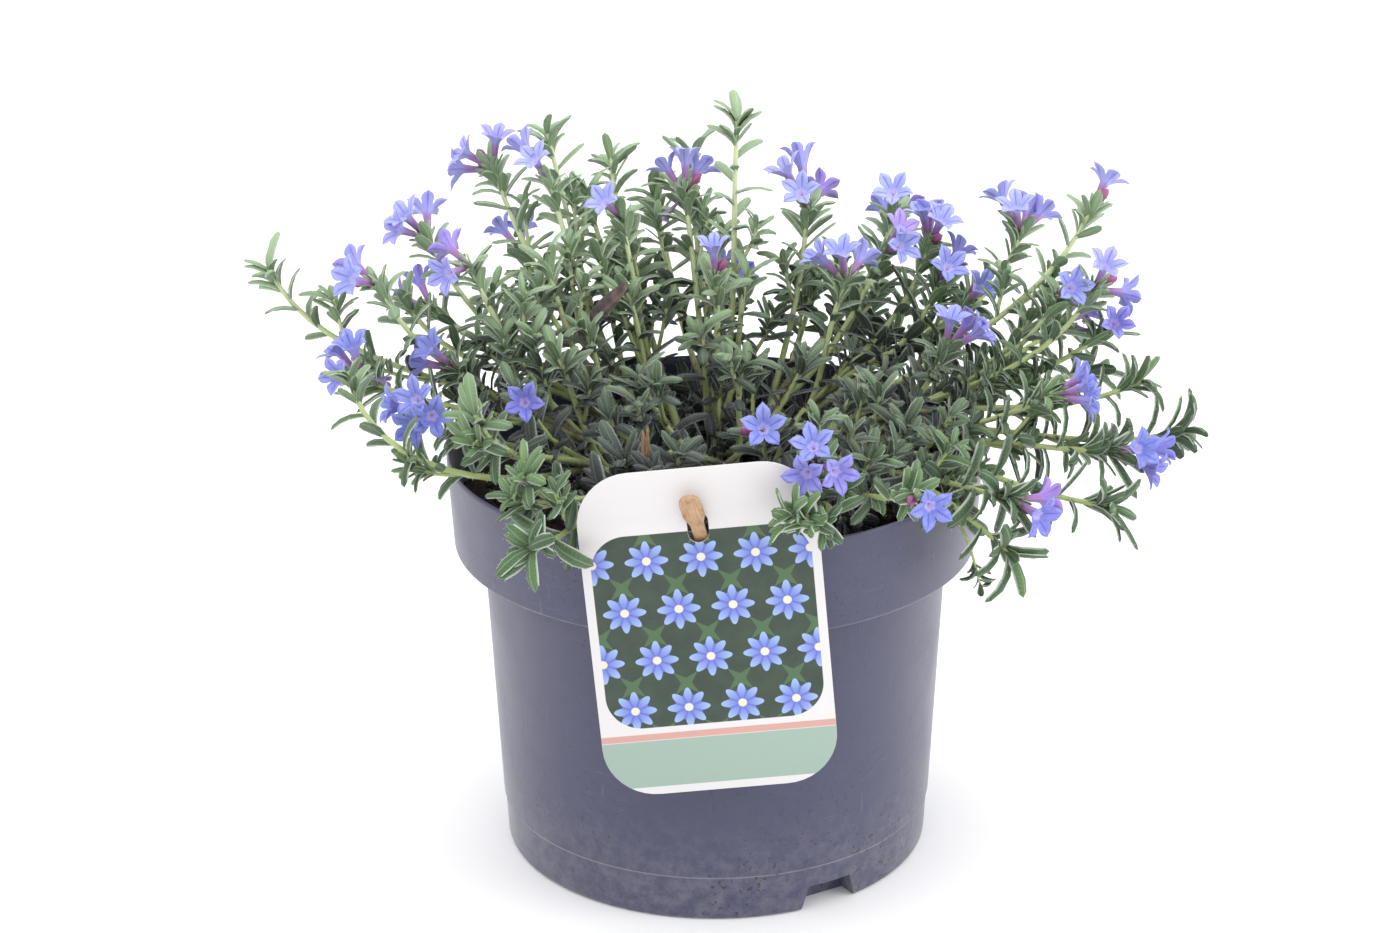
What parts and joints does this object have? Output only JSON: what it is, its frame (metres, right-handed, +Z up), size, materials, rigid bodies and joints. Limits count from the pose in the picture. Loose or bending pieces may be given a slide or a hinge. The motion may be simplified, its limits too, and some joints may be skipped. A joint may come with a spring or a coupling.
{
  "type": "potted plant",
  "caption": "Spreading evergreen herb with blue five-lobed flowers in a round plastic nursery pot of soil, with a wordless plant label held on the rim by a wooden peg",
  "frame": {"origin": "Centre of the pot's base, on the surface that the pot stands on.", "axes": "+Z is up. -Y is the front, the side where the plant label hangs. +X is to the right of someone who faces the label."},
  "size_m": [0.3364, 0.2688, 0.2556],
  "materials": {
    "pot": "scuffed slate plastic",
    "soil": "dark peat, rough",
    "label": "printed card, satin",
    "peg": "bare wood",
    "split_stick": "weathered bare wood",
    "foliage": "hairy leaf",
    "petals": "soft petal"
  },
  "bodies": {
    "root": {"pot": "pot", "soil": "soil", "label": "label", "peg": "peg", "split_stick": "split_stick", "bloom_01": "petals", "bloom_02": "petals", "bloom_03": "petals", "bloom_04": "petals", "bloom_05": "petals", "bloom_06": "petals", "bloom_07": "petals", "bloom_08": "petals", "bloom_09": "petals", "bloom_10": "petals", "bloom_11": "petals", "bloom_12": "petals", "bloom_13": "petals", "bloom_14": "petals", "bloom_15": "petals", "bloom_16": "petals", "bloom_17": "petals", "bloom_18": "petals", "bloom_19": "petals", "bloom_20": "petals", "bloom_21": "petals", "bloom_22": "petals", "bloom_23": "petals", "bloom_24": "petals", "bloom_25": "petals", "bloom_26": "petals", "bloom_27": "petals", "bloom_28": "petals", "bloom_29": "petals", "bloom_30": "petals", "bloom_31": "petals", "bloom_32": "petals", "bloom_33": "petals", "bloom_34": "petals", "bloom_35": "petals", "bloom_36": "petals", "spray_01": "foliage", "spray_02": "foliage", "spray_03": "foliage", "spray_04": "foliage", "spray_05": "foliage", "spray_06": "foliage", "spray_07": "foliage", "spray_08": "foliage", "spray_09": "foliage", "spray_10": "foliage", "spray_11": "foliage", "spray_12": "foliage", "spray_13": "foliage", "spray_14": "foliage", "spray_15": "foliage", "spray_16": "foliage", "spray_17": "foliage", "spray_18": "foliage", "spray_19": "foliage"}
  },
  "joints": []
}
